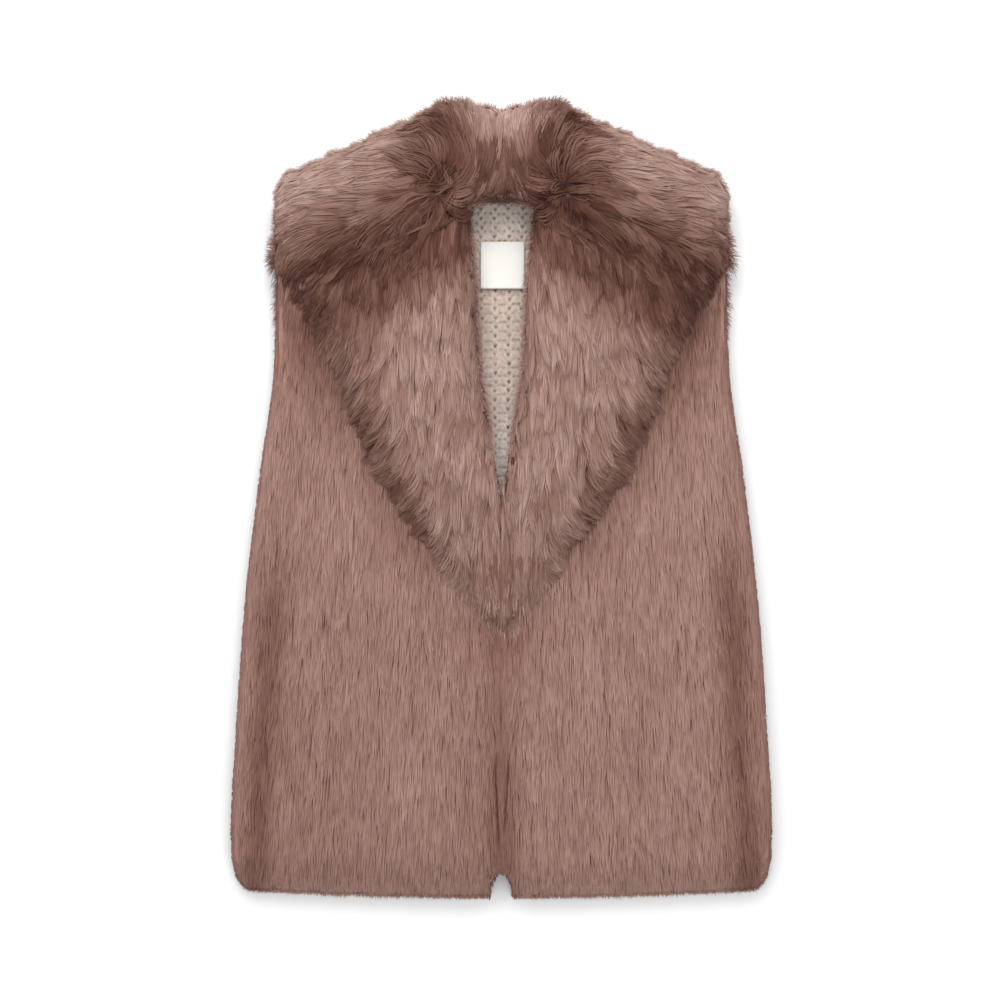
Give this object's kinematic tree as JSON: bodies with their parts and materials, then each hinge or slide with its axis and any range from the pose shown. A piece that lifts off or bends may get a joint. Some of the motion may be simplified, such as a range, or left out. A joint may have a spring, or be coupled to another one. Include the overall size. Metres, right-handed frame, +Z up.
{
  "type": "faux fur vest laid flat",
  "caption": "Open-front long-pile fur vest with a wide turned-down collar and lapels, laid flat on its back, knitted inside of the back shown at the neck.",
  "frame": {"origin": "on the surface under the middle of the vest's box", "axes": "+Z up from the surface, +Y from the hem to the collar, +X to the wearer's left, which is the viewer's right"},
  "size_m": [0.542, 0.7966, 0.0773],
  "materials": {
    "fur_back": "long soft pile, taupe pink brown, pressed flat",
    "fur_front": "long soft pile, taupe pink brown, combed down to the hem",
    "fur_lapel": "long soft pile, lighter, combed down and outwards in locks",
    "fur_collar": "long soft pile, combed from the neck out over the shoulders",
    "knit": "open beige knit, matt",
    "label": "bare woven cream label, smooth"
  },
  "bodies": {
    "root": {"back_fur": "fur_back", "back_knit": "knit", "front_left": "fur_front", "front_right": "fur_front", "lapel_left": "fur_lapel", "lapel_right": "fur_lapel", "collar_left": "fur_collar", "collar_right": "fur_collar", "collar_under": "fur_collar", "label": "label"}
  },
  "joints": []
}
